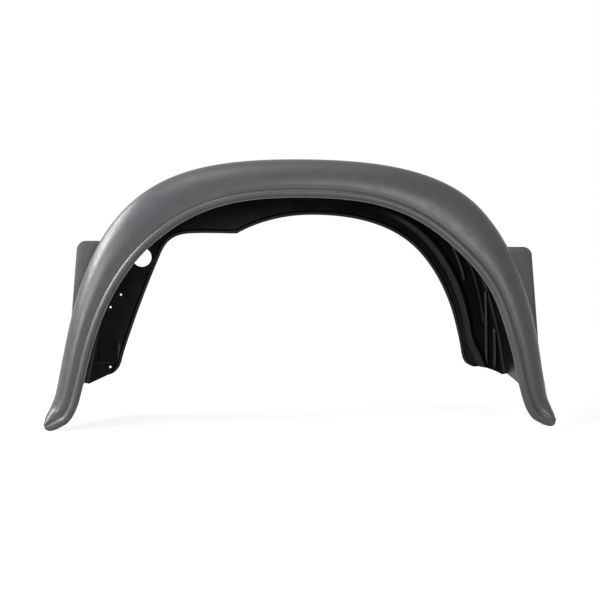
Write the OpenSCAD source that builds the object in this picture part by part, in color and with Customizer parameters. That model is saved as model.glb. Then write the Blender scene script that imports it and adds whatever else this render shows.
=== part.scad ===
// Truck mudguard: a wheel arch moulded in one piece.
// A wide flare with a rolled bead faces the road side. Behind it a deep liner
// runs back to a flat wall, whose free edge is a second, smaller arch.
// X runs along the truck, Y from the road side inwards, Z up. The part is
// centred on X and Y and its toes touch Z = 0.

/* [Overall] */
// Width across the outer corners of the toes
overall_w = 1176; // [1166:1:1190]
// Height above the toes
overall_h = 630; // [620:1:640]
// Depth from the front of the bead to the back wall
depth = 300; // [260:1:340]
// Thickness of the moulded wall
wall = 4; // [3:0.5:5]

/* [Lip of the flare] */
// Half width of the lip at the shoulders
lip_shoulder_x = 346; // [330:1:365]
// Height of the lip at the shoulders
lip_shoulder_h = 425; // [405:1:440]
// Distance of the lip from the middle on the straight of the left leg
lip_leg_left_x = 484; // [470:1:495]
// Distance of the lip from the middle on the straight of the right leg
lip_leg_right_x = 486; // [470:1:495]
// Height at which those distances are reached
lip_leg_h = 181; // [160:1:210]
// Half width of the lip where the left liner ends
lip_foot_left_x = 509; // [500:0.5:515]
// Height of the lip where the left liner ends
lip_foot_left_h = 74; // [66:1:100]
// Half width of the lip where the right liner ends
lip_foot_right_x = 505.5; // [500:0.5:515]
// Height of the lip where the right liner ends
lip_foot_right_h = 90; // [66:1:100]
// Half width of the lip where the toe bends outwards
lip_bend_x = 533.5; // [528:0.5:540]
// Height of the lip where the toe bends outwards
lip_bend_h = 20.5; // [16:0.5:26]
// Half width of the lip where it nears the ground
lip_low_x = 556; // [550:1:560]
// Height of the lip there
lip_low_h = 6.5; // [4:0.5:9]
// Height of the lip at the end of the toe
lip_end_h = 2; // [1:0.5:4]

/* [Flare] */
// Width of the flare at the middle of the arch
flare_top_w = 96; // [80:1:115]
// Width of the flare at the left shoulder
shoulder_left_w = 110; // [95:1:125]
// Width of the flare at the right shoulder
shoulder_right_w = 120; // [95:1:125]
// Width of the flare on the left leg
leg_left_w = 68; // [60:1:85]
// Width of the flare on the right leg
leg_right_w = 77; // [60:1:85]
// Width of the flare at the foot of the left liner
foot_left_w = 63; // [56:1:75]
// Width of the flare at the foot of the right liner
foot_right_w = 71; // [56:1:75]
// Width of the flare where the left toe bends outwards
toe_left_w = 59; // [52:1:64]
// Width of the flare where the right toe bends outwards
toe_right_w = 62; // [52:1:64]
// Width of the toes where the lip nears the ground
toe_low_w = 42; // [36:1:46]
// Width of the end of each toe
toe_end_w = 23; // [18:1:26]
// How far the end of each toe bulges
toe_bulge = 7; // [4:0.5:9]
// Radius of the rolled bead along the lip
bead_r = 10; // [8:0.5:12]
// Depth of the crown behind the front of the bead
crown_d = 46; // [38:1:56]
// Depth of the crown at the tips of the toes
toe_crown_d = 24; // [20:1:30]
// How far the face of the flare swells towards the road side
face_swell = 6; // [0:1:9]

/* [Liner] */
// Step from the outline of the flare in to the liner
step_w = 5; // [4:1:14]
// How far the liner narrows towards the back wall
draft_w = 2; // [0:1:10]
// Inside radius between the liner and the back wall
corner_r = 10; // [8:1:20]

/* [Back wall] */
// Height of the back opening at its highest point
back_top_h = 533; // [525:1:545]
// Distance of that highest point to the right of the middle
back_top_x = 40; // [30:1:50]
// Distance of the arch's right shoulder from the middle
arch_shoulder_x = 332; // [322:1:338]
// Height of the arch's right shoulder
arch_shoulder_h = 432; // [425:1:440]
// Distance of the arch's right side from the middle
arch_side_x = 425; // [418:1:432]
// Height at which that distance is reached
arch_side_h = 250; // [235:1:265]
// Distance from the middle to where the right side turns into the foot
arch_corner_x = 442; // [436:1:446]
// Height of that turn
arch_corner_h = 167; // [162:1:172]
// Distance of the inner end of the right foot from the middle
right_foot_x = 477; // [472:1:482]
// Height of the inner end of the right foot
right_foot_h = 124; // [120:1:130]
// Distance to the left at which the hanging lobe starts
lobe_in_x = 162; // [150:1:175]
// Height of the lobe's lower edge
lobe_h = 482; // [476:1:490]
// Distance to the left at which the lobe's lower edge turns down
lobe_out_x = 284; // [275:1:292]
// Distance of the left side from the middle, below the lobe
left_side_x = 363; // [356:1:370]
// Height at which that distance is reached
left_side_h = 430; // [420:1:440]
// Distance of the left side from the middle, above the foot
left_corner_x = 460; // [454:1:466]
// Height at which that distance is reached
left_corner_h = 166; // [160:1:175]
// Distance of the inner end of the left foot from the middle
left_foot_x = 489; // [484:1:494]
// Height of the inner end of the left foot
left_foot_h = 112; // [106:1:118]
// How far the lower edge of the right foot bows upwards
foot_bow = 6; // [0:1:8]
// Height of the rolled edge round the back opening
edge_bead_h = 5; // [3:0.5:6]
// Width of that rolled edge
edge_bead_w = 11; // [9:0.5:12]
// Distance of the stiffening swage from the back opening
swage_in = 38; // [38:1:42]
// How much nearer the swage comes to the back opening at the foot
swage_closes = 11; // [0:1:11]
// Width of the swage
swage_w = 30; // [24:1:30]
// Height of the swage
swage_h = 8; // [4:1:10]

/* [Ear plates] */
// Thickness of the two ear plates
ear_t = 4; // [3:0.5:6]
// Distance of the plates behind the front of the bead
ear_y = 72; // [70:1:78]
// Height of the top of the left plate
ear_left_top = 438; // [420:1:446]
// Height of the top of the right plate
ear_right_top = 426; // [415:1:440]
// Half width of the left plate at its top
ear_left_x = 533; // [520:1:545]
// Half width of the right plate at its top
ear_right_x = 560; // [540:1:570]
// How much wider the plates are at their foot
ear_flare = 14; // [0:1:20]
// Height at which the outer edge of the left plate turns in
ear_left_foot = 215; // [200:1:260]
// Height at which the outer edge of the right plate turns in
ear_right_foot = 190; // [180:1:260]
// Height of the slanting end below it
ear_slant_h = 45; // [30:1:60]
// Radius of the upper corners of the plates
ear_corner_r = 22; // [10:1:26]

/* [Fixings] */
// Diameter of the stay hole in the left of the back wall
stay_hole_d = 50; // [40:1:52]
// Distance of the stay hole to the left of the middle
stay_hole_x = 413; // [411:1:418]
// Height of the stay hole
stay_hole_h = 417; // [414:1:420]
// Diameter of the three bolt holes
bolt_hole_d = 5.5; // [4.5:0.5:7]
// Distance of the two bolt holes of the leg to the left of the middle
bolt_x = 495; // [492:1:503]
// Height of the lower bolt hole
bolt_low_h = 127; // [124:1:135]
// Height between the two bolt holes of the leg
bolt_pitch = 158; // [150:1:165]
// Distance of the third bolt hole to the left of the middle
bolt_third_x = 468; // [464:1:474]
// Height of the third bolt hole
bolt_third_h = 318; // [312:1:326]

/* [Leg details] */
// Radius of the two upright ribs in the right leg
rib_r = 5; // [4:0.5:6]
// Distance of the outer rib to the right of the middle
rib_x = 536; // [530:1:537]
// Distance between the two ribs
rib_pitch = 23; // [18:1:28]
// Height of the lower end of the inner rib
rib_low_h = 124; // [122:1:130]
// Height of the lower end of the outer rib
rib_outer_low_h = 116; // [114:1:126]
// Height of the upper end of the inner rib
rib_high_h = 322; // [280:1:325]
// Height of the upper end of the outer rib
rib_outer_high_h = 218; // [200:1:224]
// Distance of the raised pad to the left of the middle
pad_x = 503; // [498:1:506]
// Width of the raised pad in the left leg
pad_w = 52; // [40:1:54]
// Height of the raised pad
pad_h = 56; // [40:1:64]
// Thickness of the raised pad
pad_t = 2; // [1:0.5:3]
// Height of the pad above the lower bolt hole
pad_gap = 10; // [8:1:20]
// Radius of the corners of the pad
pad_corner_r = 6; // [3:1:10]

/* [Hidden] */

satin_grey = [0.30, 0.31, 0.32];

// Steps between the knots of a half arch: top, shoulder, leg, foot, bend, low, end
lip_steps = [11, 9, 3, 3, 3, 2];
liner_rows = lip_steps[0] + lip_steps[1] + lip_steps[2];
toe_rows = lip_steps[3] + lip_steps[4] + lip_steps[5];
half_rows = liner_rows + toe_rows;
rows = 2 * half_rows + 1;
last_liner_row = rows - 1 - toe_rows;

lip_top_h = overall_h - flare_top_w;
back_y = depth - wall / 2;

function heading(a) = [cos(a), sin(a)];

// A point on the curve from p, which leaves at angle a, to q, which it meets at
// angle b. The two eases say how long each end holds its direction.
function curve(p, a, q, b, ease, t) =
    let (c = norm(q - p))
    bezier(p, p + ease[0] * c * heading(a), q - ease[1] * c * heading(b), q, t);
function bezier(p0, p1, p2, p3, t) =
    let (m = 1 - t) m * m * m * p0 + 3 * m * m * t * p1 + 3 * m * t * t * p2 + t * t * t * p3;

// A rail goes through its knots, each [point, angle in, angle out, eases to the next]
function rail(knots, steps) = concat([knots[0][0]],
    [for (i = [0:len(steps) - 1]) for (j = [1:steps[i]])
        curve(knots[i][0], knots[i][2], knots[i + 1][0], knots[i + 1][1],
              knots[i][3], j / steps[i])]);
third = [0.33, 0.33];

function smooth(t) = let (c = min(1, max(0, t))) c * c * (3 - 2 * c);

// Knots of the lip. The end of the toe slopes from the lip out to the outline.
end_slope = 48;
shoulder_p = [lip_shoulder_x, lip_shoulder_h];
leg_left_p = [lip_leg_left_x, lip_leg_h];
leg_right_p = [lip_leg_right_x, lip_leg_h];
foot_left_p = [lip_foot_left_x, lip_foot_left_h];
foot_right_p = [lip_foot_right_x, lip_foot_right_h];
bend_p = [lip_bend_x, lip_bend_h];
low_p = [lip_low_x, lip_low_h];
end_p = [overall_w / 2 - toe_end_w * cos(end_slope), lip_end_h];

function lip_rail(leg_p, foot_p, eases) = rail([
    [[0, lip_top_h], 0, 0, [0.42, 0.36]],
    [shoulder_p, -42, -42, eases],
    [leg_p, -75, -75, third],
    [foot_p, -76, -76, third],
    [bend_p, -49, -49, third],
    [low_p, -27, -27, third],
    [end_p, 0, 0, third]], lip_steps);
lip_left = lip_rail(leg_left_p, foot_left_p, [0.33, 0.36]);
lip_right = lip_rail(leg_right_p, foot_right_p, [0.44, 0.44]);

// The outline of the flare lies square off the lip by the flare's own width
function outline_rail(leg_p, foot_p, eases, shoulder_w, leg_w, foot_w, toe_w) = rail([
    [[0, overall_h], 0, 0, eases],
    [shoulder_p + shoulder_w * heading(48), -47, -47, [0.33, 0.36]],
    [leg_p + leg_w * heading(15), -79, -79, third],
    [foot_p + foot_w * heading(13), -79, -79, third],
    [bend_p + toe_w * heading(40), -74, -74, third],
    [low_p + toe_low_w * heading(40), -72, -72, third],
    [end_p + toe_end_w * heading(end_slope), -76, -76, third]], lip_steps);
outline_left = outline_rail(leg_left_p, foot_left_p, [0.47, 0.30],
    shoulder_left_w, leg_left_w, foot_left_w, toe_left_w);
outline_right = outline_rail(leg_right_p, foot_right_p, [0.39, 0.30],
    shoulder_right_w, leg_right_w, foot_right_w, toe_right_w);

// The free edge of the back wall: a round arch on the right, and on the left a
// lobe that hangs below the arch and then a straight leg
edge_right = rail([
    [[back_top_x, back_top_h], 0, 0, [0.36, 0.34]],
    [[arch_shoulder_x, arch_shoulder_h], -48, -48, third],
    [[arch_side_x, arch_side_h], -76, -76, third],
    [[arch_corner_x, arch_corner_h], -82, -82, [0.50, 0.50]],
    [[right_foot_x, right_foot_h], -14, -14, third]], [10, 6, 2, 5]);
edge_left = rail([
    [[-back_top_x, back_top_h], 0, 0, [0.42, 0.24]],
    [[lobe_in_x, lobe_h], -30, 0, third],
    [[lobe_out_x, lobe_h], -3, -3, [0.45, 0.40]],
    [[left_side_x, left_side_h], -67, -67, third],
    [[left_corner_x, left_corner_h], -73, -73, [0.45, 0.45]],
    [[left_foot_x, left_foot_h], -32, -32, third]], [4, 4, 4, 7, 4]);

// Section of the flare as [distance from the lip, depth] on the middle of the
// wall, from the tucked edge of the bead to the rear of the outline. The fade
// says how far the groove beside the bead has run out.
bead_angles = [150:40:350];
face_steps = 7;
function flare_section(w, d, fade) =
    let (r = min(bead_r, 0.36 * w), m = r - wall / 2, front = wall / 2,
         sunk = 1 - 0.75 * fade, crown = w - wall / 2,
         groove = [2 * r + min(5, 0.1 * w), front + (m - 0.5) * sunk],
         run = crown - groove[0], swell = face_swell * min(1, w / flare_top_w),
         back = (d - r) / (crown_d - bead_r), step = step_w * min(1, back))
    concat(
        [for (a = bead_angles) let (p = [r, r] + m * heading(a))
            a > 270 ? [p[0], front + (p[1] - front) * sunk] : p],
        [[2 * r + 0.3, front + (m + 0.8) * sunk]],
        [for (i = [0:face_steps])
            bezier(groove, groove + [0.30 * run, -swell],
                   [crown, groove[1] + 0.20 * (d - groove[1])], [crown, d], i / face_steps)],
        [[crown, d + 10 * back], [crown - 0.15 * step, d + 16 * back],
         [crown - 0.6 * step, d + 21 * back], [crown - step, d + 28 * back]]);
flare_cols = len(flare_section(flare_top_w, crown_d, 0));

// Section of the liner behind it, as [inset from the outline, depth]
liner_top_y = crown_d + 28;
corner_m = corner_r + wall / 2;
liner_run = back_y - corner_m - liner_top_y;
liner_inset = step_w + wall / 2;
liner_steps = 3;
corner_steps = 4;
liner_section = concat(
    [for (i = [1:liner_steps]) let (t = i / liner_steps)
        [liner_inset + draft_w * t, liner_top_y + liner_run * t]],
    [for (i = [1:corner_steps]) let (a = 90 * i / corner_steps)
        [liner_inset + draft_w + corner_m * (1 - cos(a)), back_y - corner_m * (1 - sin(a))]]);

// Stations of the back wall, as distances from its free edge
edge_at = [for (i = [4:-1:0]) edge_bead_w * i / 4];
swage_across = [for (i = [4:-1:0]) swage_w * (i / 4 - 0.5)];
function raised(x, mid, width, height) =
    abs(x - mid) >= width / 2 ? 0 : height * (1 + cos(360 * (x - mid) / width)) / 2;

// Height at a share of the way along a shallow bow
function bowed(share, height) = 4 * height * share * (1 - share);

function liner_row(lip, out, edge, swage, near, bow) =
    let (u = (out - lip) / norm(out - lip), q = liner_section[len(liner_section) - 1],
         corner = out - u * q[0], width = norm(corner - edge), v = (corner - edge) / width)
    concat(
        [for (c = liner_section) let (p = out - u * c[0]) [p[0], c[1], p[1]]],
        [for (x = concat([for (across = swage_across) near + across], edge_at))
            let (p = edge + v * x + bowed(x / width, bow) * [-abs(v[1]), abs(v[0])],
                 rise = raised(x, near, swage_w, swage * swage_h)
                      + raised(x, edge_bead_w / 2, edge_bead_w, edge_bead_h))
            [p[0], back_y - rise, p[1]]]);
toe_cols = flare_cols + liner_steps;
all_cols = flare_cols + len(liner_section) + len(swage_across) + len(edge_at);

// Past the foot the side of the liner reaches less and less far back. The spread
// keeps its last points apart.
toe_spread = 6;
function toe_liner(tail, past, trim) =
    let (reach = pow(1 - past, trim))
    [for (i = [1:liner_steps]) let (t = i / liner_steps)
        tail + [-draft_w * reach * t, (liner_run * reach + toe_spread) * t]];

function flare_row(lip, out, past, trim) =
    let (w = norm(out - lip), u = (out - lip) / w,
         d = crown_d + (toe_crown_d - crown_d) * smooth(past),
         flare = flare_section(w, d, smooth((past - 0.3) / 0.5)),
         section = past > 0 ? concat(flare, toe_liner(flare[flare_cols - 1], past, trim)) : flare,
         bulge = toe_bulge * smooth((past - 0.6) / 0.4))
    [for (c = section)
        let (p = lip + u * c[0] + bowed(c[0] / w, bulge) * [u[1], -u[0]])
        [p[0], c[1], p[1]]];

// One row of the middle surface at step n of a half arch
function half_row(n, lip, outline, edge, trim, swage, bow) =
    let (flare = flare_row(lip[n], outline[n], max(0, (n - liner_rows) / toe_rows), trim))
    n > liner_rows ? flare
        : concat(flare, liner_row(lip[n], outline[n], edge[n], swage * smooth((n - 4) / 8),
                                  swage_in - swage_closes * smooth((n - liner_rows + 3) / 3),
                                  bow * smooth((n - liner_rows + 4) / 4)));

function mirrored(row) = [for (p = row) [-p[0], p[1], p[2]]];
surface = concat(
    [for (n = [half_rows:-1:1])
        mirrored(half_row(n, lip_left, outline_left, edge_left, 1, 0, 0))],
    [for (n = [0:half_rows])
        half_row(n, lip_right, outline_right, edge_right, 3, 1, foot_bow)]);

// The wall stands half its thickness off each side of the middle surface
function along(r, c) = surface[r][min(c + 1, len(surface[r]) - 1)] - surface[r][max(c - 1, 0)];
function has(r, c) = r >= 0 && r < rows && c < len(surface[r]);
function across(r, c) =
    (has(r + 1, c) ? surface[r + 1][c] : surface[r][c])
    - (has(r - 1, c) ? surface[r - 1][c] : surface[r][c]);
function skin(side) =
    [for (r = [0:rows - 1]) for (c = [0:len(surface[r]) - 1])
        let (n = cross(along(r, c), across(r, c)))
        surface[r][c] + side * wall / 2 * n / norm(n)];
skins = concat(skin(1), skin(-1));
skin_size = len(skins) / 2;
seat_z = min([for (p = skins) p[2]]);

// Number of a point in a skin
function id(r, c) =
    r < toe_rows ? r * toe_cols + c
    : r <= last_liner_row ? toe_rows * toe_cols + (r - toe_rows) * all_cols + c
    : toe_rows * toe_cols + (2 * liner_rows + 1) * all_cols
      + (r - last_liner_row - 1) * toe_cols + c;

rim = concat(
    [for (r = [0:rows - 1]) id(r, 0)],
    [for (c = [1:toe_cols - 1]) id(rows - 1, c)],
    [for (r = [rows - 2:-1:last_liner_row]) id(r, toe_cols - 1)],
    [for (c = [toe_cols:all_cols - 1]) id(last_liner_row, c)],
    [for (r = [last_liner_row - 1:-1:toe_rows]) id(r, all_cols - 1)],
    [for (c = [all_cols - 2:-1:toe_cols - 1]) id(toe_rows, c)],
    [for (r = [toe_rows - 1:-1:0]) id(r, toe_cols - 1)],
    [for (c = [toe_cols - 2:-1:1]) id(0, c)]);

skin_faces = [for (r = [0:rows - 2])
    for (c = [0:min(len(surface[r]), len(surface[r + 1])) - 2])
        let (a = id(r, c), b = id(r + 1, c), e = id(r + 1, c + 1), f = id(r, c + 1))
        each [[a, b, e], [a, e, f]]];
shell_faces = concat(
    skin_faces,
    [for (t = skin_faces) [t[2] + skin_size, t[1] + skin_size, t[0] + skin_size]],
    [for (i = [0:len(rim) - 1])
        let (a = rim[i], b = rim[(i + 1) % len(rim)])
        each [[b, a, a + skin_size], [b, a + skin_size, b + skin_size]]]);

module shell() {
    polyhedron(points = skins, faces = shell_faces, convexity = 10);
}

// Where a falling rail passes a height
function at_height(points, h, i = 0) =
    points[i + 1][1] > h ? at_height(points, h, i + 1)
    : points[i] + (points[i + 1] - points[i])
        * (points[i][1] - h) / (points[i][1] - points[i + 1][1]);

// An ear plate runs from the middle of the liner's wall out to its own edge
module ear_plate(lip, outline, side, top_h, top_x, foot_h) {
    liner = [for (n = [0:liner_rows]) let (across = outline[n] - lip[n])
        outline[n] - across / norm(across) * liner_inset];
    end_h = foot_h - ear_slant_h;
    inside = [for (i = [liner_rows:-1:0]) if (liner[i][1] < top_h && liner[i][1] > end_h) liner[i]];
    corner = [top_x, top_h] - ear_corner_r * [1, 1];
    translate([0, ear_y + ear_t, 0]) rotate([90, 0, 0]) linear_extrude(ear_t)
        scale([side, 1]) polygon(concat(
            [at_height(liner, top_h)],
            [for (a = [90:-15:0]) corner + ear_corner_r * heading(a)],
            [[top_x + ear_flare, foot_h], at_height(liner, end_h)], inside));
}

// A round-ended upright rib, half sunk in the front of the back wall
module upright_rib(x, low, high) {
    translate([x, depth - wall / 2 - rib_r, low]) {
        cylinder(r = rib_r, h = high - low, $fn = 24);
        sphere(r = rib_r, $fn = 24);
        translate([0, 0, high - low]) sphere(r = rib_r, $fn = 24);
    }
}

module leg_pad() {
    translate([-pad_x, depth - wall / 2, bolt_low_h + pad_gap + pad_h / 2])
        rotate([90, 0, 0]) linear_extrude(wall / 2 + pad_t)
            offset(pad_corner_r, $fn = 24)
                square([pad_w, pad_h] - 2 * pad_corner_r * [1, 1], center = true);
}

module through_back(x, z, d) {
    translate([-x, depth + 1, z]) rotate([90, 0, 0])
        cylinder(d = d, h = wall + edge_bead_h + 2, $fn = 48);
}

module mudguard() {
    color(satin_grey) translate([0, -depth / 2, 0]) difference() {
        translate([0, 0, -seat_z]) {
            shell();
            ear_plate(lip_left, outline_left, -1, ear_left_top, ear_left_x, ear_left_foot);
            ear_plate(lip_right, outline_right, 1, ear_right_top, ear_right_x, ear_right_foot);
            upright_rib(rib_x, rib_outer_low_h, rib_outer_high_h);
            upright_rib(rib_x - rib_pitch, rib_low_h, rib_high_h);
            leg_pad();
        }
        through_back(stay_hole_x, stay_hole_h, stay_hole_d);
        through_back(bolt_x, bolt_low_h, bolt_hole_d);
        through_back(bolt_x, bolt_low_h + bolt_pitch, bolt_hole_d);
        through_back(bolt_third_x, bolt_third_h, bolt_hole_d);
    }
}

mudguard();
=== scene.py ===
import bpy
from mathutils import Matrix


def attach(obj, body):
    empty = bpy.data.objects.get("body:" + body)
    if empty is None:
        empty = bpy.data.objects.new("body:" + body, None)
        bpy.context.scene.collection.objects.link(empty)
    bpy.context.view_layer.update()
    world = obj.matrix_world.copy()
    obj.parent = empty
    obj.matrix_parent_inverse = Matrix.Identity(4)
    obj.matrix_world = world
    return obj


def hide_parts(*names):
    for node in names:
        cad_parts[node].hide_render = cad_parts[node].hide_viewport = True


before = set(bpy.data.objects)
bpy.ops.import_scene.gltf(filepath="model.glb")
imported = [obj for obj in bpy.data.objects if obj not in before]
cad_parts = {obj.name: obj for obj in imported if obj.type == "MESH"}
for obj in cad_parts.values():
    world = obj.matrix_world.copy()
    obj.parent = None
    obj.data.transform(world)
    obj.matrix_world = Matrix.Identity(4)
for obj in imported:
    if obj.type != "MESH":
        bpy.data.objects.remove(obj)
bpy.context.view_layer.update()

import functools
import math

import bmesh
import bpy
import numpy as np
from mathutils import Quaternion, Vector

# The moulding, in millimetres: x along the truck, z up, depth from the front of
# the bead inwards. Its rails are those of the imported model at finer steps, but
# for the ends of the toes, which differ by about a millimetre.
LEFT, RIGHT = -1, 1
DEPTH = 300.0
WALL = 4.0
BACK_D = DEPTH - WALL / 2      # middle of the back wall
FRONT_OF_WALL_D = DEPTH - WALL
RIM_R = 1.5                    # radius along the free edges of the shell
RIM_STEPS = 3
SHARP_ANGLE = 38               # degrees between faces from which an edge is drawn sharp

# The lip of the flare, at the distances from the middle and heights of its knots
LIP_TOP = np.array([0.0, 534.0])
LIP_SHOULDER = np.array([346.0, 425.0])
LIP_LEG = {LEFT: np.array([484.0, 181.0]), RIGHT: np.array([486.0, 181.0])}
LIP_FOOT = {LEFT: np.array([509.0, 74.0]), RIGHT: np.array([505.5, 90.0])}   # where the liner ends
LIP_BEND = np.array([533.5, 20.5])
LIP_LOW = np.array([556.0, 6.5])
LIP_END = np.array([572.5, 2.3])
TOE_TIP = np.array([587.0, 19.0])
LIP_EASES = {LEFT: (0.33, 0.36), RIGHT: (0.44, 0.44)}
OUTLINE_EASES = {LEFT: (0.47, 0.30), RIGHT: (0.39, 0.30)}
THIRD = (0.33, 0.33)           # eases of a stretch that holds both its directions alike

# Widths of the flare
FLARE_TOP_W = 96.0
SIDE_WIDTHS = {LEFT: (110.0, 68.0, 63.0), RIGHT: (120.0, 77.0, 71.0)}   # shoulder, leg, foot
TOE_W = {LEFT: 59.0, RIGHT: 62.0}
TOE_LOW_W = 42.0
TOE_BULGE = 7.0
BULGE_SPAN = (0.6, 0.4)        # share of the toe at which the bulge starts, and over which it grows

# Section of the flare
BEAD_R = 10.0
BEAD_SHARE = 0.36              # the most that this radius is of the flare's width
BEAD_TURN = range(150, 351, 10)   # angles round the bead, from its tucked edge to the groove
BEAD_FRONT = 270               # angle of its front
GROOVE_W = 5.0                 # distance of the groove's floor past the bead
GROOVE_SHARE = 0.1             # the most that it is of the flare's width
GROOVE_RISE = 0.5              # how far that floor lies in front of the bead's middle
GROOVE_EASE = 0.5
GROOVE_FADES = 0.75            # how much of the groove's depth is gone at the tip of a toe
FADE_SPAN = (0.3, 0.5)         # share of the toe at which that starts, and over which it goes on
FACE_SWELL = 6.0
FACE_EASES = (0.30, 0.20)
CROWN_D = 46.0
TOE_CROWN_D = 24.0
GROOVE_STEPS, FACE_STEPS, FALL_STEPS = 6, 26, 10

# The liner and its corner with the back wall
STEP_W = 5.0                   # how far the outline steps in to the liner
STEP_SPAN = (10.0, 28.0)       # depths behind the crown between which it steps
STEP_EASE = 8.0
DRAFT_W = 2.0
CORNER_R = 10.0
CORNER_M = CORNER_R + WALL / 2   # the same on the middle of the wall
LINER_INSET = STEP_W + WALL / 2
LINER_TOP_D = CROWN_D + STEP_SPAN[1]
LINER_RUN = BACK_D - CORNER_M - LINER_TOP_D
TOE_TRIM = {LEFT: 1.0, RIGHT: 3.0}   # how fast the liner's side draws in along the toe
TOE_SPREAD = 6.0               # keeps the last points of that side apart
SIDE_STEPS, CORNER_STEPS = 12, 8

# The free edge of the back wall, at the distances from the middle and heights of its knots
ARCH_TOP_RIGHT = (40.0, 533.0)
ARCH_SHOULDER = (332.0, 432.0)
ARCH_SIDE = (425.0, 250.0)
ARCH_CORNER = (442.0, 167.0)
RIGHT_FOOT = (477.0, 124.0)
ARCH_TOP_LEFT = (-40.0, 533.0)
LOBE_IN = (162.0, 482.0)
LOBE_OUT = (284.0, 482.0)
LEFT_SIDE = (363.0, 430.0)
LEFT_CORNER = (460.0, 166.0)
LEFT_FOOT = (489.0, 112.0)
FOOT_BOW = {LEFT: 0.0, RIGHT: 6.0}
EDGE_BEAD_H, EDGE_BEAD_W = 5.0, 11.0
SWAGE_IN = 45.0                # distance of the swage from the free edge, on the right only
SWAGE_CLOSES = 11.0            # how much nearer it comes to the edge at the foot
SWAGE_W, SWAGE_H = 30.0, 8.0
SWAGE_GAP = 1.0                # the least between the swage and the rolled edge
PLAIN_STEPS, SWAGE_STEPS, GAP_STEPS, EDGE_BEAD_STEPS = 21, 14, 4, 10

# Coarse steps of a half arch between its knots: top, shoulder, leg, foot, bend,
# low and end. A place along it is counted in them, with several rows to a step.
STEPS = (11, 9, 3, 3, 3, 2)
ROWS_PER_STEP = (3, 4, 4, 5, 5, 6)
FREE_EDGE_STEPS = {LEFT: (4, 4, 4, 7, 4), RIGHT: (10, 6, 2, 5)}
LINER_END = sum(STEPS[:3])
TINY = 1e-6
PLACES = np.concatenate([[0]] + [np.arange(1, n * k + 1) / k + sum(STEPS[:i])
                                 for i, (n, k) in enumerate(zip(STEPS, ROWS_PER_STEP))])
LINER_ROWS = int(np.sum(PLACES <= LINER_END + TINY)) - 1
HALF_ROWS = len(PLACES) - 1
SWAGE_SPAN = (4, 8)            # place at which the swage starts to rise, and over which it rises
CLOSING_SPAN = (LINER_END - 3, 3)
BOW_SPAN = (LINER_END - 4, 4)

# Ear plates: height of the top, half width at the top, height at which the edge turns in
EARS = {LEFT: (438.0, 533.0, 215.0), RIGHT: (426.0, 560.0, 190.0)}
EAR_T = 4.0
EAR_D = 72.0
EAR_FLARE = 14.0               # how much wider they are at their foot
EAR_SLANT_H = 45.0             # height of the slanting end below it
EAR_CORNER_R = 22.0
EAR_CORNER_TURN = range(90, -1, -6)
EAR_RIM_R = 1.2
MITRE_LIMIT = 0.3

# Low ridges on the front of the back wall: half width, height, and the path in x and z
RIDGES = (
    (7.0, 3.8, ((513, 122), (513, 190), (513, 260), (512, 332))),
    (7.0, 3.8, ((535, 117), (536, 150), (536, 190), (535, 232))),
    (7.0, 3.4, ((414, 468), (430, 432), (444, 395), (455, 352))),
    (4.0, 2.4, ((455, 420), (474, 385), (489, 335), (500, 280), (504, 238))))
RIDGE_ENDS = 14.0              # length over which a ridge dies away at each end
RIDGE_STEP = 4.0               # about how far apart its rows are
RIDGE_ROWS = 24                # the fewest rows
RIDGE_COLS = 13
RIDGE_SUNK = 0.4               # how far its sides start inside the wall
TOOL_REACH = 2.0               # how far joined pieces and cutters reach past a face of the wall

# Raised pad of the left leg, a wedge that stands proud at its foot
PAD_X = (-528.0, -469.0)
PAD_Z = (137.0, 200.0)
PAD_T = 4.0
PAD_SIDE_W = 5.0               # width over which its sides rise
PAD_FOOT_H = 4.0               # height over which its foot rises
PAD_SUNK = 0.3
PAD_POINTS = 40                # each way

# Holes in the back wall: x, height above the ground, diameter and number of sides
STAY_HOLE = (-413.0, 417.0, 50.0, 96)
BOLT_HOLE_D, BOLT_HOLE_SIDES = 5.5, 48
BOLT_HOLES = [(x, z, BOLT_HOLE_D, BOLT_HOLE_SIDES)
              for x, z in ((-495.0, 127.0), (-495.0, 285.0), (-468.0, 318.0))]
HOLE_EDGE_R = 0.8
HOLE_EDGE_STEPS = 3
CUTTER_CLEAR = 0.5             # how much wider than its round edges a cutter is outside the wall
CUTTER_STEP = 0.01             # how far off the wall's faces it widens
CUTTER_FRONT = 14.0            # how far it reaches in front of the wall

# The plastic, and a darker copy of it that is painted shade for the hollow side:
# a dark, a plain and a rubbed colour, range of roughness, specular level and depth of the grain in metres
SATIN_GREY = dict(
    colours=((0.056, 0.060, 0.065), (0.068, 0.073, 0.078), (0.110, 0.116, 0.122)),
    roughness=(0.29, 0.38), specular=0.5, grain=0.00005)
# The darker copy: painted shade standing in for the shadow inside the arch, with a low specular level
PAINTED_SHADE_BLACK = dict(
    colours=((0.007, 0.0075, 0.008), (0.012, 0.0125, 0.013), (0.030, 0.031, 0.033)),
    roughness=(0.28, 0.38), specular=0.22, grain=0.00006)
INNER = "inner"                # the attribute that tells them apart
INNER_LIMIT = 0.75             # a face with a corner past this is on the hollow side

# Their noises: features to a metre, octaves and, where they are drawn out, the factor on each axis
DRIFT = (7, 3)
MOTTLE = (55, 4)
FLOW_MARKS = (30, 3, (0.35, 4.0, 1.0))
RUBBING = (90, 4)
SHEEN = (38, 4)
FINE_GRAIN = (1400, 2)
COARSE_GRAIN = (520, 3)
RIPPLE = (26, 2, (1.0, 1.6, 1.0))
RIPPLE_DEPTH = 0.0003
MOTTLE_SHARE, FLOW_SHARE, FINE_SHARE, COARSE_WEIGHT = 0.4, 0.3, 0.3, 0.8
SHADE_SPAN = (0.36, 0.64)
SHEEN_SPAN = (0.35, 0.65)
RUBBING_SPAN = (0.35, 0.65, 0.4, 0.9)   # from the noise to the strength of the rubbing
WORN_EDGES = (0.515, 0.58)     # pointiness from which edges are rubbed, and at which fully
SHADED_HOLLOWS = (0.45, 0.49, 0.92, 0.0)   # pointiness of a deep and a faint hollow, and how far painted shade darkens them
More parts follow.
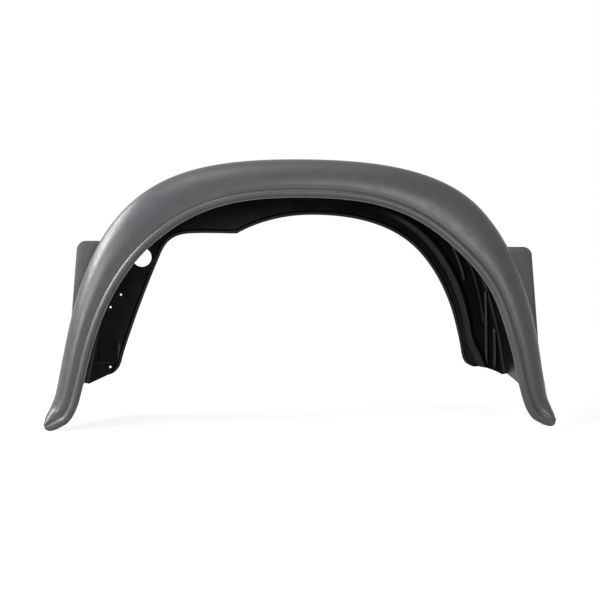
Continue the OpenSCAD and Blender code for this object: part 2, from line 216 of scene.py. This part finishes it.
HOLLOW_DARKER = 4              # by what the dark colour is divided there, for that painted shade
WORN_GLOSS = 0.12              # how much less rough rubbed edges are

# The floor, in metres
FLOOR_REACH = 12.0
FLOOR_SHADE = 0.3
FLOOR_ROUGHNESS = 0.9
FLOOR_GLOW = (0.85, 1.0)       # under the object, and far out
GLOW_SPAN = (0.9, 2.6)         # distances from the middle between which it changes

# Soft boxes: name, place and size in metres, and power. All face the middle of the arch.
CENTRE = (0, 0, 0.3)
SOFT_BOXES = (
    ("key", (-3.2, -1.1, 1.9), (0.8, 1.1), 84),
    ("key_low", (-1.9, -1.8, 0.7), (0.6, 0.7), 18),
    ("rim_left", (-1.9, 0.0, 1.5), (0.8, 0.8), 26),
    ("top_left", (-0.8, -1.2, 2.4), (1.0, 1.0), 9),
    ("top", (0.2, -1.0, 2.5), (1.0, 1.0), 3),
    ("front", (0.9, -3.3, 0.8), (1.2, 1.2), 28))
WORLD_LIGHT = 0.03             # strength of the white surround where it isn't seen or mirrored

# The photograph's camera: place in metres, angles in degrees, focal length in pixels of the photo
CAMERA_PLACE = (-0.1034, -1.950, 0.2482)
CAMERA_YAW, CAMERA_PITCH, CAMERA_ROLL = 3.0, 1.5, -0.15
FOCAL_PX = 784.615
PHOTO_PX = 600
SENSOR_MM = 36


def heading(angle):
    """Unit vector at an angle in degrees."""
    return np.array([math.cos(math.radians(angle)), math.sin(math.radians(angle))])


def smooth(t):
    """From 0 to 1 as t does, level at both ends."""
    c = np.clip(t, 0.0, 1.0)
    return c * c * (3 - 2 * c)


def eased(x, start, length):
    """0 up to the start and 1 past the length, with a smooth change between."""
    return float(smooth((x - start) / length))


def after(start, stop, steps):
    """Evenly spaced values from the first one after the start up to the stop."""
    return np.linspace(start, stop, steps + 1)[1:]


def bowed(share, height):
    """Height at a share of the way along a shallow bow."""
    return 4 * height * share * (1 - share)


def bezier(p0, p1, p2, p3, t):
    """Points of a cubic at t, which is a number or a column of them."""
    m = 1 - t
    return m**3 * p0 + 3 * m * m * t * p1 + 3 * m * t * t * p2 + t**3 * p3


def curve(p, a, q, b, eases, t):
    """A point from p, left at angle a, to q, met at angle b; the eases hold each end's direction."""
    p, q = np.asarray(p, float), np.asarray(q, float)
    chord = np.linalg.norm(q - p)
    return bezier(p, p + eases[0] * chord * heading(a), q - eases[1] * chord * heading(b), q, t)


def rail(knots, steps):
    """Points at PLACES through the knots, each (point, angle in, angle out, eases to the next)."""
    ends = np.cumsum(steps)
    points = []
    for place in PLACES[PLACES <= ends[-1] + TINY]:
        i = int(np.argmax(place <= ends + TINY))
        (p, _, a, eases), (q, b, _, _) = knots[i], knots[i + 1]
        points.append(curve(p, a, q, b, eases, (place - (ends[i] - steps[i])) / steps[i]))
    return np.array(points)


def lip_rail(side):
    return rail([
        (LIP_TOP, 0, 0, (0.42, 0.36)),
        (LIP_SHOULDER, -42, -42, LIP_EASES[side]),
        (LIP_LEG[side], -75, -75, THIRD),
        (LIP_FOOT[side], -76, -76, THIRD),
        (LIP_BEND, -49, -49, THIRD),
        (LIP_LOW, -27, -27, THIRD),
        (LIP_END, 0, 0, THIRD)], STEPS)


def outline_rail(side):
    """The outline of the flare, off the lip by the flare's own width and about square to it."""
    shoulder, leg, foot = SIDE_WIDTHS[side]
    return rail([
        (LIP_TOP + [0, FLARE_TOP_W], 0, 0, OUTLINE_EASES[side]),
        (LIP_SHOULDER + shoulder * heading(48), -47, -47, (0.33, 0.36)),
        (LIP_LEG[side] + leg * heading(15), -79, -79, THIRD),
        (LIP_FOOT[side] + foot * heading(13), -79, -79, THIRD),
        (LIP_BEND + TOE_W[side] * heading(40), -74, -74, THIRD),
        (LIP_LOW + TOE_LOW_W * heading(40), -72, -72, THIRD),
        (TOE_TIP, -76, -76, THIRD)], STEPS)


def free_edge_rails():
    """The free edge of the back wall, from the top of the arch down each leg."""
    right = [
        (ARCH_TOP_RIGHT, 0, 0, (0.36, 0.34)),
        (ARCH_SHOULDER, -48, -48, THIRD),
        (ARCH_SIDE, -76, -76, THIRD),
        (ARCH_CORNER, -82, -82, (0.50, 0.50)),
        (RIGHT_FOOT, -14, -14, THIRD)]
    left = [
        (ARCH_TOP_LEFT, 0, 0, (0.42, 0.24)),
        (LOBE_IN, -30, 0, THIRD),
        (LOBE_OUT, -3, -3, (0.45, 0.40)),
        (LEFT_SIDE, -67, -67, THIRD),
        (LEFT_CORNER, -73, -73, (0.45, 0.45)),
        (LEFT_FOOT, -32, -32, THIRD)]
    return {side: rail(knots, FREE_EDGE_STEPS[side]) for side, knots in ((LEFT, left), (RIGHT, right))}


lip_rails = {side: lip_rail(side) for side in (LEFT, RIGHT)}
outlines = {side: outline_rail(side) for side in (LEFT, RIGHT)}
edge_rails = free_edge_rails()


def flare_section(w, d, fade):
    """From the tucked edge of the bead to the rear of the outline, as (distance from the lip, depth)."""
    r = min(BEAD_R, BEAD_SHARE * w)
    m = r - WALL / 2   # radius on the middle of the wall
    front = r - m
    sunk = 1 - GROOVE_FADES * fade
    bead = np.array([r, r]) + m * np.array([heading(a) for a in BEAD_TURN])
    behind = np.array(BEAD_TURN) > BEAD_FRONT
    bead[behind, 1] = front + (bead[behind, 1] - front) * sunk

    groove = np.array([2 * r + min(GROOVE_W, GROOVE_SHARE * w), front + (m - GROOVE_RISE) * sunk])
    leaving = heading(BEAD_TURN[-1] + 90)
    groove_in = bezier(bead[-1], bead[-1] + GROOVE_EASE * m * sunk * leaving,
                       groove - [GROOVE_EASE * m, 0], groove, after(0, 1, GROOVE_STEPS)[:, None])

    crown = w - WALL / 2
    swell = FACE_SWELL * min(1.0, w / FLARE_TOP_W)
    face = bezier(groove, groove + [FACE_EASES[0] * (crown - groove[0]), -swell],
                  np.array([crown, groove[1] + FACE_EASES[1] * (d - groove[1])]),
                  np.array([crown, d]), after(0, 1, FACE_STEPS)[:, None])

    back = (d - r) / (CROWN_D - BEAD_R)
    rear = np.array([crown, d + STEP_SPAN[0] * back])
    foot = np.array([crown - STEP_W * min(1.0, back), d + STEP_SPAN[1] * back])
    ease = [0, STEP_EASE * back]
    fall = bezier(rear, rear + ease, foot - ease, foot, np.linspace(0, 1, FALL_STEPS + 1)[:, None])
    return np.concatenate([bead, groove_in, face, fall])


def liner_section():
    """The liner and its corner with the back wall, as (inset from the outline, depth)."""
    t = after(0, 1, SIDE_STEPS)
    side = np.stack([LINER_INSET + DRAFT_W * t, LINER_TOP_D + LINER_RUN * t], axis=1)
    a = np.radians(after(0, 90, CORNER_STEPS))
    corner = np.stack([LINER_INSET + DRAFT_W + CORNER_M * (1 - np.cos(a)),
                       BACK_D - CORNER_M * (1 - np.sin(a))], axis=1)
    return np.concatenate([side, corner])


LINER = liner_section()


def raised(x, mid, width, height):
    """A round-topped ridge across x."""
    t = np.clip(np.abs(x - mid) / (width / 2), 0, 1)
    return height * (1 + np.cos(np.pi * t)) / 2


def wall_stations(width, swage_in):
    """Distances from the free edge at which the back wall has points, from the corner inwards."""
    far = swage_in + SWAGE_W / 2
    near = max(swage_in - SWAGE_W / 2, EDGE_BEAD_W + SWAGE_GAP)
    bead = EDGE_BEAD_W * (1 + np.cos(after(0, np.pi, EDGE_BEAD_STEPS))) / 2
    return np.concatenate([after(width, far, PLAIN_STEPS), after(far, near, SWAGE_STEPS),
                           after(near, EDGE_BEAD_W, GAP_STEPS), bead])


def liner_row(lip, out, edge, swage_in, swage_h, bow):
    """The liner's side, its corner and the back wall up to the free edge, as (x, depth, z)."""
    u = (out - lip) / np.linalg.norm(out - lip)
    flat = out - LINER[:, :1] * u
    side = np.stack([flat[:, 0], LINER[:, 1], flat[:, 1]], axis=1)
    corner = flat[-1]
    width = np.linalg.norm(corner - edge)
    v = (corner - edge) / width
    x = wall_stations(width, swage_in)
    p = edge + x[:, None] * v + bowed(x / width, bow)[:, None] * np.array([-abs(v[1]), abs(v[0])])
    rise = raised(x, swage_in, SWAGE_W, swage_h) + raised(x, EDGE_BEAD_W / 2, EDGE_BEAD_W, EDGE_BEAD_H)
    return np.concatenate([side, np.stack([p[:, 0], BACK_D - rise, p[:, 1]], axis=1)])


def toe_liner(tail, reach):
    """What is left of the liner's side behind a toe, as (distance from the lip, depth)."""
    t = after(0, 1, SIDE_STEPS)
    return tail + np.stack([-DRAFT_W * reach * t, (LINER_RUN * reach + TOE_SPREAD) * t], axis=1)


def flare_row(lip, out, past, trim):
    """The flare at a share of the way past the liner's end, as (x, depth, z)."""
    w = np.linalg.norm(out - lip)
    u = (out - lip) / w
    d = CROWN_D + (TOE_CROWN_D - CROWN_D) * smooth(past)
    section = flare_section(w, d, eased(past, *FADE_SPAN))
    if past > 0:
        section = np.concatenate([section, toe_liner(section[-1], (1 - past) ** trim)])
    bulge = bowed(section[:, 0] / w, TOE_BULGE * eased(past, *BULGE_SPAN))
    flat = lip + section[:, :1] * u + bulge[:, None] * np.array([u[1], -u[0]])
    return np.stack([flat[:, 0], section[:, 1], flat[:, 1]], axis=1)


def half_row(n, side):
    """One row of the middle surface, from the lip over the crown and back to the free edge."""
    place = PLACES[n]
    lip, out = lip_rails[side][n], outlines[side][n]
    past = max(0.0, (place - LINER_END) / (sum(STEPS) - LINER_END))
    row = flare_row(lip, out, past, TOE_TRIM[side])
    if n <= LINER_ROWS:
        swage_in = SWAGE_IN - SWAGE_CLOSES * eased(place, *CLOSING_SPAN)
        swage_h = SWAGE_H * eased(place, *SWAGE_SPAN) if side == RIGHT else 0.0
        bow = FOOT_BOW[side] * eased(place, *BOW_SPAN)
        row = np.concatenate([row, liner_row(lip, out, edge_rails[side][n], swage_in, swage_h, bow)])
    return row * [side, 1, 1]


def middle_surface():
    """The middle of the moulded wall, as rows from the left toe over the arch to the right toe."""
    rows = [half_row(n, LEFT) for n in range(HALF_ROWS, 0, -1)]
    rows += [half_row(n, RIGHT) for n in range(HALF_ROWS + 1)]
    grid = np.full((len(rows), max(map(len, rows)), 3), np.nan)
    for r, row in enumerate(rows):
        grid[r, :len(row)] = row
    return grid


def grid_normals(grid):
    """Unit normals of the middle surface, from its neighbours in both directions."""
    def neighbour(shift, axis):
        moved = np.roll(grid, shift, axis=axis)
        edge = [slice(None)] * 3
        edge[axis] = 0 if shift > 0 else -1
        moved[tuple(edge)] = np.nan
        return np.where(np.isnan(moved), grid, moved)
    along = neighbour(-1, 1) - neighbour(1, 1)
    across = neighbour(-1, 0) - neighbour(1, 0)
    n = np.cross(along, across)
    return n / np.linalg.norm(n, axis=2, keepdims=True)


def grid_quads(ident):
    """The four corners of every cell of a grid of point numbers."""
    return np.stack([ident[:-1, :-1], ident[1:, :-1], ident[1:, 1:], ident[:-1, 1:]], axis=2)


def free_edges(quads):
    """The edges that only one quad has, as {start: end}."""
    edges = {(int(q[i]), int(q[(i + 1) % 4])) for q in quads for i in range(4)}
    return {a: b for a, b in edges if (b, a) not in edges}


def rim_directions(p, n, quads, free):
    """Unit directions that lead off the surface at the start of each free edge."""
    outward = np.zeros_like(p)
    for a, b in free.items():
        off = np.cross(p[b] - p[a], n[a] + n[b])
        off /= np.linalg.norm(off)
        outward[a] += off
        outward[b] += off
    first = next(iter(free))
    sign = np.sign(np.sum(outward[first] * (p[first] - p[quads[0]].mean(axis=0))))
    outward = outward[list(free)]
    return sign * outward / np.linalg.norm(outward, axis=1, keepdims=True)


def shell_mesh():
    """The moulded wall, closed by a round rim: vertices in millimetres, faces and inner side."""
    grid = middle_surface()
    there = ~np.isnan(grid[:, :, 0])
    count = int(there.sum())
    ident = np.full(there.shape, -1)
    ident[there] = np.arange(count)
    p, n = grid[there], grid_normals(grid)[there]
    quads = grid_quads(ident)
    quads = quads[(quads >= 0).all(axis=2)]
    free = free_edges(quads)
    rim = np.array(list(free))
    outward = rim_directions(p, n, quads, free)
    p[rim] -= RIM_R * outward

    half = WALL / 2
    # Inner side of the first skin: at the crown the outer skin is the one that faces up
    hollow = 0.0 if n[p[:, 2].argmax(), 2] > 0 else 1.0
    vertices = [p + half * n, p - half * n]
    inner = [np.full(count, hollow), np.full(count, 1 - hollow)]
    faces = [quads, quads[:, ::-1] + count]
    rings = [rim]
    total = 2 * count
    turns = after(0, 90, RIM_STEPS)
    for side, angles in ((1, turns), (-1, turns[::-1])):
        for angle in angles:
            c, s = heading(angle)
            vertices.append(p[rim] + RIM_R * s * outward + side * n[rim] * (half - RIM_R + RIM_R * c))
            inner.append(np.full(len(rim), 0.5 + (hollow - 0.5) * side * c))
            rings.append(np.arange(total, total + len(rim)))
            total += len(rim)
    rings.append(rim + count)
    position = {int(v): i for i, v in enumerate(rim)}
    follow = np.array([position[free[int(v)]] for v in rim])
    for near, far in zip(rings, rings[1:]):
        faces.append(np.stack([near[follow], near, far, far[follow]], axis=1))
    return np.concatenate(vertices), np.concatenate(faces), np.concatenate(inner)


def add_object(name, data):
    obj = bpy.data.objects.new(name, data)
    bpy.context.scene.collection.objects.link(obj)
    return obj


def new_mesh(name, vertices_mm, faces, inner=0.0):
    """An object in metres, centred on depth. Its INNER attribute says how far a point is inside."""
    mesh = bpy.data.meshes.new(name)
    metres = (np.asarray(vertices_mm) + [0, -DEPTH / 2, 0]) / 1000
    mesh.from_pydata(metres.tolist(), [], [list(map(int, f)) for f in faces])
    mesh.validate()
    values = np.broadcast_to(np.asarray(inner, np.float32), len(mesh.vertices)).astype(np.float32)
    mesh.attributes.new(INNER, "FLOAT", "POINT").data.foreach_set("value", values)
    return add_object(name, mesh)


def tube_faces(rings, count):
    """Faces of a tube of that many rings of count points each, with both ends closed."""
    faces = [[k * count + i, k * count + (i + 1) % count,
              (k + 1) * count + (i + 1) % count, (k + 1) * count + i]
             for k in range(rings - 1) for i in range(count)]
    return faces + [list(range(count))[::-1], [(rings - 1) * count + i for i in range(count)]]


def at_height(points, h):
    """Where a falling rail passes a height."""
    i = next(i for i in range(len(points) - 1) if points[i + 1][1] <= h)
    t = (points[i][1] - h) / (points[i][1] - points[i + 1][1])
    return points[i] + (points[i + 1] - points[i]) * t


def inward_mitres(outline, turn):
    """At each point of a closed outline, how far one unit inwards moves it."""
    def normals(a, b):
        d = b - a
        return turn * np.stack([-d[:, 1], d[:, 0]], axis=1) / np.linalg.norm(d, axis=1, keepdims=True)
    ahead = normals(outline, np.roll(outline, -1, axis=0))
    inward = normals(np.roll(outline, 1, axis=0), outline) + ahead
    return inward / np.maximum(np.sum(inward * ahead, axis=1, keepdims=True), MITRE_LIMIT)


def rounded_slab(name, outline, front, thickness, radius):
    """A plate of that outline in x and z, with round edges, from depth front inwards."""
    outline = np.array(outline)
    following = np.roll(outline, -1, axis=0)
    area = np.sum(outline[:, 0] * following[:, 1] - outline[:, 1] * following[:, 0])
    inward = inward_mitres(outline, 1 if area > 0 else -1)
    turns = np.linspace(0, 90, RIM_STEPS + 1)
    rings = []
    for side, angles in ((-1, turns), (1, turns[::-1])):
        for angle in angles:
            c, s = heading(angle)
            flat = outline + inward * radius * (1 - s)
            depth = front + thickness / 2 + side * (thickness / 2 - radius + radius * c)
            rings.append(np.stack([flat[:, 0], np.full(len(flat), depth), flat[:, 1]], axis=1))
    return new_mesh(name, np.concatenate(rings), tube_faces(len(rings), len(outline)))


def ear_plate(side):
    """An ear plate, from the middle of the liner's wall out to its own edge."""
    top_h, top_x, foot_h = EARS[side]
    outline = outlines[side][:LINER_ROWS + 1]
    u = outline - lip_rails[side][:LINER_ROWS + 1]
    liner = outline - u / np.linalg.norm(u, axis=1, keepdims=True) * LINER_INSET
    end_h = foot_h - EAR_SLANT_H
    inside = [p for p in liner[::-1] if end_h < p[1] < top_h]
    corner = np.array([top_x, top_h]) - EAR_CORNER_R
    points = [at_height(liner, top_h)]
    points += [corner + EAR_CORNER_R * heading(a) for a in EAR_CORNER_TURN]
    points += [np.array([top_x + EAR_FLARE, foot_h]), at_height(liner, end_h)] + inside
    return rounded_slab("ear", [p * [side, 1] for p in points], EAR_D, EAR_T, EAR_RIM_R)


def ridge_path(knots, spacing, least):
    """Points of a smooth path through the knots, how far along it each one is, and the side of each."""
    knots = np.array(knots, float)
    along = np.concatenate([[0], np.cumsum(np.linalg.norm(np.diff(knots, axis=0), axis=1))])
    stops = np.linspace(0, along[-1], max(least, int(along[-1] / spacing)))
    fit = np.polynomial.Polynomial.fit
    path = np.stack([fit(along, knots[:, k], len(knots) - 1)(stops) for k in range(2)], axis=1)
    forward = np.gradient(path, axis=0)
    side = np.stack([forward[:, 1], -forward[:, 0]], axis=1) / np.linalg.norm(forward, axis=1, keepdims=True)
    return path, stops, side


def wall_ridge(half_width, height, knots):
    """A soft ridge along a path, as a closed mesh that starts inside the wall."""
    path, stops, sides = ridge_path(knots, RIDGE_STEP, RIDGE_ROWS)
    sizes = smooth(np.minimum(stops, stops[-1] - stops) / RIDGE_ENDS)
    share = np.linspace(-1, 1, RIDGE_COLS)
    rise = raised(share, 0, 2, height + RIDGE_SUNK) - RIDGE_SUNK
    rows = []
    for point, side, size in zip(path, sides, sizes):
        flat = point + share[:, None] * half_width * side
        depth = FRONT_OF_WALL_D - np.where(rise > 0, rise * size, rise)
        row = np.stack([flat[:, 0], depth, flat[:, 1]], axis=1)
        foot = row[[-1, 0]]
        foot[:, 1] = FRONT_OF_WALL_D + TOOL_REACH
        rows.append(np.concatenate([row, foot]))
    return new_mesh("ridge", np.concatenate(rows), tube_faces(len(rows), len(rows[0])), 1.0)


def wedge_pad():
    """A pad that stands proud of the wall at its foot and sinks into it towards the top."""
    x, z = np.linspace(*PAD_X, PAD_POINTS), np.linspace(*PAD_Z, PAD_POINTS)
    across = smooth(np.minimum(x - PAD_X[0], PAD_X[1] - x) / PAD_SIDE_W)
    rise = PAD_T * (PAD_Z[1] - z) / (PAD_Z[1] - PAD_Z[0]) * smooth((z - PAD_Z[0]) / PAD_FOOT_H)
    depth = FRONT_OF_WALL_D - (across[:, None] * rise[None, :] - PAD_SUNK)
    wide, high = np.meshgrid(x, z, indexing="ij")
    front = np.stack([wide, depth, high], axis=2)
    behind = front.copy()
    behind[:, :, 1] = FRONT_OF_WALL_D + TOOL_REACH
    ident = np.arange(depth.size).reshape(depth.shape)
    quads = grid_quads(ident).reshape(-1, 4)
    rim = np.concatenate([ident[:-1, 0], ident[-1, :-1], ident[:0:-1, -1], ident[0, :0:-1]])
    follow = np.roll(rim, -1)
    sides = np.stack([rim, follow, follow + ident.size, rim + ident.size], axis=1)
    faces = np.concatenate([quads, quads[:, ::-1] + ident.size, sides])
    return new_mesh("pad", np.concatenate([front.reshape(-1, 3), behind.reshape(-1, 3)]), faces, 1.0)


def hole_cutter(x, z, diameter, sides):
    """A cylinder through the back wall that flares at both faces, so that the hole gets a round edge."""
    flared = diameter / 2 + HOLE_EDGE_R
    wide = flared + CUTTER_CLEAR
    turns = [heading(a) for a in np.linspace(0, 90, HOLE_EDGE_STEPS + 1)]
    profile = [(wide, FRONT_OF_WALL_D - CUTTER_FRONT), (wide, FRONT_OF_WALL_D - CUTTER_STEP)]
    profile += [(flared - HOLE_EDGE_R * s, FRONT_OF_WALL_D + HOLE_EDGE_R * (1 - c)) for c, s in turns]
    profile += [(flared - HOLE_EDGE_R * s, DEPTH - HOLE_EDGE_R * (1 - c)) for c, s in turns[::-1]]
    profile += [(wide, DEPTH + CUTTER_STEP), (wide, DEPTH + TOOL_REACH)]
    spin = [heading(360 * i / sides) for i in range(sides)]
    vertices = [(x + r * c, depth, z + r * s) for r, depth in profile for c, s in spin]
    return new_mesh("cutter", vertices, tube_faces(len(profile), sides), 0.5)


def outward_faces(obj):
    """Turns a closed mesh's faces outwards."""
    work = bmesh.new()
    work.from_mesh(obj.data)
    bmesh.ops.recalc_face_normals(work, faces=work.faces)
    work.to_mesh(obj.data)
    work.free()


def join(body, tool, operation):
    """Adds a closed mesh to the body, or cuts it away."""
    outward_faces(tool)
    modifier = body.modifiers.new(operation.lower(), "BOOLEAN")
    modifier.operation = operation
    modifier.solver = "MANIFOLD"
    modifier.object = tool
    bpy.context.view_layer.update()
    evaluated = body.evaluated_get(bpy.context.evaluated_depsgraph_get())
    mesh = bpy.data.meshes.new_from_object(evaluated)
    body.modifiers.remove(modifier)
    body.data = mesh
    bpy.data.objects.remove(tool)


def build_moulding():
    """The whole moulding, with its lowest point on the ground."""
    vertices, faces, inner = shell_mesh()
    vertices[:, 2] -= vertices[:, 2].min()
    body = new_mesh("moulding", vertices, faces, inner)
    outward_faces(body)
    for side in (LEFT, RIGHT):
        join(body, ear_plate(side), "UNION")
    join(body, wedge_pad(), "UNION")
    for ridge in RIDGES:
        join(body, wall_ridge(*ridge), "UNION")
    for hole in (STAY_HOLE, *BOLT_HOLES):
        join(body, hole_cutter(*hole), "DIFFERENCE")
    body.data.shade_smooth()
    body.data.set_sharp_from_angle(angle=math.radians(SHARP_ANGLE))
    return body


class Nodes:
    """Short calls for building the nodes of a material or world, on object coordinates in metres."""

    def __init__(self, owner, shader):
        owner.use_nodes = True
        self.owner = owner
        self.nodes, self.links = owner.node_tree.nodes, owner.node_tree.links
        self.shader = self.nodes[shader]

    @functools.cached_property
    def place(self):
        return self.add("TexCoord").outputs["Object"]

    def add(self, kind, **settings):
        """A new shader node with some of its settings."""
        node = self.nodes.new("ShaderNode" + kind)
        for name, setting in settings.items():
            setattr(node, name, setting)
        return node

    def put(self, socket, value):
        """Links a socket to another one, or sets its value."""
        if isinstance(value, bpy.types.NodeSocket):
            self.links.new(value, socket)
        else:
            socket.default_value = value

    def noise(self, scale, detail, stretch=None):
        """Noise with a number of features to a metre, stretched along an axis where that is given."""
        node = self.add("TexNoise")
        node.inputs["Scale"].default_value = scale
        node.inputs["Detail"].default_value = detail
        place = self.place
        if stretch:
            scaled = self.add("VectorMath", operation="MULTIPLY")
            self.put(scaled.inputs[0], place)
            scaled.inputs[1].default_value = stretch
            place = scaled.outputs[0]
        self.put(node.inputs["Vector"], place)
        return node.outputs["Fac"]

    def combine(self, operation, a, b):
        node = self.add("Math", operation=operation)
        self.put(node.inputs[0], a)
        self.put(node.inputs[1], b)
        return node.outputs[0]

    def mixed(self, a, b, share):
        """Two values added up, the second by its share and the first by the rest."""
        return self.combine("ADD", self.combine("MULTIPLY", a, 1 - share),
                            self.combine("MULTIPLY", b, share))

    def span(self, value, low, high, to_low=0.0, to_high=1.0):
        """Value between low and high, spread smoothly over another range and held at its ends."""
        node = self.add("MapRange", interpolation_type="SMOOTHSTEP")
        amounts = {"Value": value, "From Min": low, "From Max": high, "To Min": to_low, "To Max": to_high}
        for name, amount in amounts.items():
            self.put(node.inputs[name], amount)
        return node.outputs["Result"]

    def blend(self, share, a, b):
        """Colour a turned towards colour b by a share."""
        node = self.add("Mix", data_type="RGBA")
        self.put(node.inputs["Factor"], share)
        self.put(node.inputs["A"], a)
        self.put(node.inputs["B"], b)
        return node.outputs["Result"]

    def bump(self, height, depth, base=None):
        node = self.add("Bump")
        node.inputs["Distance"].default_value = depth
        self.put(node.inputs["Height"], height)
        if base is not None:
            self.put(node.inputs["Normal"], base)
        return node.outputs["Normal"]

    def seen_or_mirrored(self):
        """1 for camera, glossy and transmission rays, 0 for the rest."""
        path = self.add("LightPath")
        seen = self.combine("MAXIMUM", path.outputs["Is Camera Ray"], path.outputs["Is Glossy Ray"])
        return self.combine("MAXIMUM", seen, path.outputs["Is Transmission Ray"])


def moulded_plastic(name, colours, roughness, specular, grain):
    """Moulded plastic: drifting shade, flow marks along the arch, painted shade in hollows, rubbed edges and
    a fine grain.
    """
    n = Nodes(bpy.data.materials.new(name), "Principled BSDF")
    dark, plain, rubbed = [(*c, 1.0) for c in colours]
    # colour of the painted shade in hollows: the dark colour divided down
    deep = (*[c / HOLLOW_DARKER for c in dark[:3]], 1.0)
    drift = n.mixed(n.noise(*DRIFT), n.noise(*MOTTLE), MOTTLE_SHARE)
    shade = n.span(n.mixed(drift, n.noise(*FLOW_MARKS), FLOW_SHARE), *SHADE_SPAN)
    edges = n.add("NewGeometry").outputs["Pointiness"]
    worn = n.combine("MULTIPLY", n.span(edges, *WORN_EDGES), n.span(n.noise(*RUBBING), *RUBBING_SPAN))
    # painted shade: hollows and grooves darkened by pointiness
    colour = n.blend(n.span(edges, *SHADED_HOLLOWS), n.blend(shade, dark, plain), deep)
    n.put(n.shader.inputs["Base Color"], n.blend(worn, colour, rubbed))

    fine = n.noise(*FINE_GRAIN)
    rough = n.span(n.mixed(n.noise(*SHEEN), fine, FINE_SHARE), *SHEEN_SPAN, *roughness)
    n.put(n.shader.inputs["Roughness"],
          n.combine("SUBTRACT", rough, n.combine("MULTIPLY", worn, WORN_GLOSS)))
    n.shader.inputs["Specular IOR Level"].default_value = specular
    height = n.combine("ADD", fine, n.combine("MULTIPLY", n.noise(*COARSE_GRAIN), COARSE_WEIGHT))
    n.put(n.shader.inputs["Normal"], n.bump(height, grain, n.bump(n.noise(*RIPPLE), RIPPLE_DEPTH)))
    return n.owner


def finish_moulding(body):
    """Satin grey on the road side and behind, and a darker copy of it as painted shade on the hollow side.
    """
    body.data.materials.clear()
    body.data.materials.append(moulded_plastic("satin_grey", **SATIN_GREY))
    body.data.materials.append(moulded_plastic("painted_shade_black", **PAINTED_SHADE_BLACK))
    inner = np.empty(len(body.data.vertices), np.float32)
    body.data.attributes[INNER].data.foreach_get("value", inner)
    for face in body.data.polygons:
        # faces on the hollow side get the darker copy, which is painted shade
        face.material_index = int(inner[list(face.vertices)].max() > INNER_LIMIT)


def add_floor():
    """A pale floor that keeps the object's shadow and brightens to white further out."""
    mesh = bpy.data.meshes.new("floor")
    corners = [(x * FLOOR_REACH, y * FLOOR_REACH, 0) for x, y in ((-1, -1), (1, -1), (1, 1), (-1, 1))]
    mesh.from_pydata(corners, [], [(0, 1, 2, 3)])
    floor = add_object("floor", mesh)
    n = Nodes(bpy.data.materials.new("pale_floor"), "Principled BSDF")
    n.shader.inputs["Base Color"].default_value = (FLOOR_SHADE, FLOOR_SHADE, FLOOR_SHADE, 1)
    n.shader.inputs["Roughness"].default_value = FLOOR_ROUGHNESS
    away = n.add("VectorMath", operation="LENGTH")
    n.put(away.inputs[0], n.place)
    glow = n.span(away.outputs["Value"], *GLOW_SPAN, *FLOOR_GLOW)
    n.shader.inputs["Emission Color"].default_value = (1, 1, 1, 1)
    n.put(n.shader.inputs["Emission Strength"], n.combine("MULTIPLY", glow, n.seen_or_mirrored()))
    mesh.materials.append(n.owner)


def area_light(name, place, size, power):
    data = bpy.data.lights.new(name, "AREA")
    data.shape = "RECTANGLE"
    data.size, data.size_y = size
    data.energy = power
    lamp = add_object(name, data)
    lamp.location = place
    lamp.rotation_euler = (Vector(CENTRE) - Vector(place)).to_track_quat("-Z", "Y").to_euler()


def white_world():
    """A white surround that the camera and mirrored rays see. It adds almost no diffuse light."""
    world = bpy.data.worlds.new("world")
    bpy.context.scene.world = world
    n = Nodes(world, "Background")
    n.put(n.shader.inputs["Strength"], n.span(n.seen_or_mirrored(), 0.0, 1.0, WORLD_LIGHT, 1.0))
    n.shader.inputs["Color"].default_value = (1, 1, 1, 1)


def add_camera():
    """The photograph's view: low, a little left of the middle, turned slightly right and up."""
    data = bpy.data.cameras.new("camera")
    data.sensor_width = SENSOR_MM
    data.lens = FOCAL_PX / PHOTO_PX * SENSOR_MM
    camera = add_object("camera", data)
    camera.location = CAMERA_PLACE
    yaw, pitch, roll = map(math.radians, (CAMERA_YAW, CAMERA_PITCH, CAMERA_ROLL))
    ahead = Vector((math.sin(yaw) * math.cos(pitch), math.cos(yaw) * math.cos(pitch), math.sin(pitch)))
    camera.rotation_mode = "QUATERNION"
    camera.rotation_quaternion = ahead.to_track_quat("-Z", "Y") @ Quaternion((0, 0, 1), roll)
    bpy.context.scene.camera = camera


moulding = build_moulding()
finish_moulding(moulding)
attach(moulding, "root")
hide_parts("mudguard")

add_floor()
for soft_box in SOFT_BOXES:
    area_light(*soft_box)
white_world()
add_camera()
bpy.context.scene.view_settings.view_transform = "Standard"
